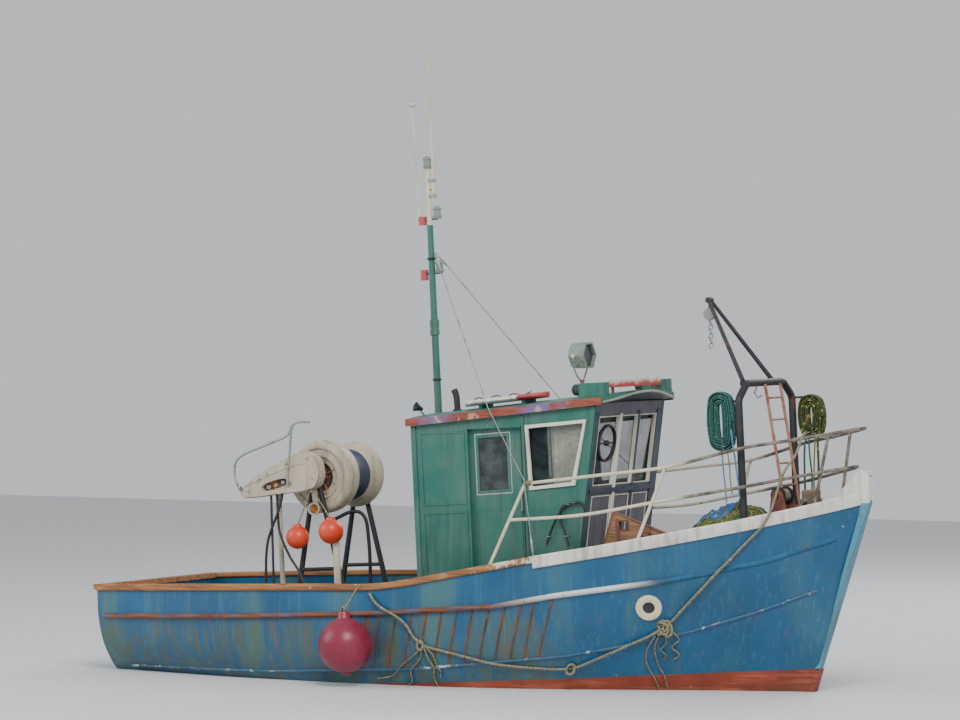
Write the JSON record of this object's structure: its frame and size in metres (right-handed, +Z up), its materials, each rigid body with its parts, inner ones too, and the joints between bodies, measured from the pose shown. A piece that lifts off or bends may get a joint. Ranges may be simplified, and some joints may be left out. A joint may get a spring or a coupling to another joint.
{
  "type": "fishing trawler",
  "caption": "Small wooden inshore fishing trawler with blue hull, white rail, green wheelhouse, mast, bow gantry with derrick, and a net drum aft.",
  "frame": {"origin": "amidships on the centreline, at the height of the still water the boat floats in", "axes": "+X level towards the bow, +Y to port, +Z up; the hull sits 3 degrees down by the stern in this frame, as it floats in the picture"},
  "size_m": [8.4381, 3.4672, 7.8335],
  "materials": {
    "hull_paint": "weathered blue gloss paint on planking",
    "antifouling": "matt red-brown antifouling",
    "stem_paint": "faded lighter blue paint",
    "white_paint": "worn white gloss",
    "bare_wood": "weathered, unpainted",
    "deck_paint": "matt grey-green deck paint",
    "engine_paint": "grey-green engine paint",
    "house_green": "worn green gloss",
    "panel_grey": "grey-purple satin paint",
    "window_glass": "clear, dark from inside",
    "galvanised": "dull galvanised steel",
    "red_brown": "red-brown paint and rust",
    "black_steel": "navy-black paint, chipped",
    "rail_beige": "beige paint, rusty at the joints",
    "net_twine": "green-yellow twine",
    "gear_cream": "pale grey-cream paint",
    "float_orange": "orange float plastic",
    "old_rope": "old laid rope, grey-green",
    "fender_red": "purple-red inflated vinyl",
    "bronze": "dull bronze"
  },
  "bodies": {
    "hull": {"bulwarks": "hull_paint", "hull_topsides": "hull_paint", "hull_bottom": "antifouling", "keel": "antifouling", "stem": "stem_paint", "rail_cap_white": "white_paint", "rail_cap_bare": "bare_wood", "rubbing_strake_port": "bare_wood", "rubbing_strake_starboard": "bare_wood", "main_deck": "deck_paint", "foredeck": "deck_paint", "engine": "engine_paint", "house_side_starboard": "house_green", "house_side_port": "house_green", "house_front": "panel_grey", "house_back": "house_green", "door_runners": "galvanised", "side_glass_port": "window_glass", "side_glass_starboard": "window_glass", "front_glass": "window_glass", "back_glass": "window_glass", "house_roof": "house_green", "roof_fascia": "red_brown", "exhaust_stack": "black_steel", "name_board": "white_paint", "rescue_board": "white_paint", "floodlight": "galvanised", "helm_console": "bare_wood", "mast": "house_green", "aerial_pole": "white_paint", "whip_aerial": "white_paint", "shroud_starboard": "galvanised", "shroud_port": "galvanised", "guard_rail_port": "rail_beige", "guard_rail_starboard": "rail_beige", "bow_gantry": "black_steel", "hank_starboard": "net_twine", "hank_port": "net_twine", "ladder": "red_brown", "mooring_bitts": "bare_wood", "winch_frame": "red_brown", "drum_stand": "black_steel", "drive_case": "gear_cream", "case_frame": "galvanised", "hatch_coaming": "bare_wood", "floats": "float_orange", "net_heap": "net_twine", "otter_board": "red_brown", "hull_rope": "old_rope", "fender": "fender_red"},
    "wheelhouse_door": {"door": "house_green", "door_glass": "window_glass"},
    "hatch_cover": {"hatch_lid": "deck_paint"},
    "rudder_blade": {"rudder": "antifouling"},
    "helm_wheel": {"steering_wheel": "black_steel"},
    "screw": {"propeller": "bronze"},
    "drum": {"net_drum": "gear_cream"},
    "winch_barrel": {"winch_drum": "black_steel"},
    "derrick_boom": {"derrick": "black_steel", "derrick_block": "galvanised"}
  },
  "joints": [
    {"name": "door_slide", "type": "slide", "parent": "hull", "child": "wheelhouse_door", "axis": [-0.9986, 0, -0.0523], "range_m": [0, 0.56]},
    {"name": "hatch_hinge", "type": "hinge", "parent": "hull", "child": "hatch_cover", "pos_m": [-2.6654, 0, 0.7215], "axis": [0, 1, 0], "range_deg": [0, 100]},
    {"name": "rudder_turn", "type": "hinge", "parent": "hull", "child": "rudder_blade", "pos_m": [-3.7748, 0, -0.1978], "axis": [-0.0523, 0, 0.9986], "range_deg": [-35, 35]},
    {"name": "wheel_turn", "type": "hinge", "parent": "hull", "child": "helm_wheel", "pos_m": [0.9872, -0.33, 1.8943], "axis": [0.9986, 0, 0.0523], "range_deg": [-280, 280]},
    {"name": "propeller_spin", "type": "hinge", "parent": "hull", "child": "screw", "pos_m": [-3.366, 0, -0.7372], "axis": [0.9986, 0, 0.0523], "continuous": true},
    {"name": "net_drum_spin", "type": "hinge", "parent": "hull", "child": "drum", "pos_m": [-1.8102, 0, 2.0581], "axis": [0, 1, 0], "continuous": true},
    {"name": "winch_spin", "type": "hinge", "parent": "hull", "child": "winch_barrel", "pos_m": [3.381, -0.33, 1.9797], "axis": [0, 1, 0], "continuous": true},
    {"name": "derrick_swing", "type": "hinge", "parent": "hull", "child": "derrick_boom", "pos_m": [2.9524, 0, 3.0887], "axis": [0, 1, 0], "range_deg": [-5, 35]}
  ],
  "couplings": [
    {"joint": "wheel_turn", "follows": "rudder_turn", "ratio": 8}
  ]
}
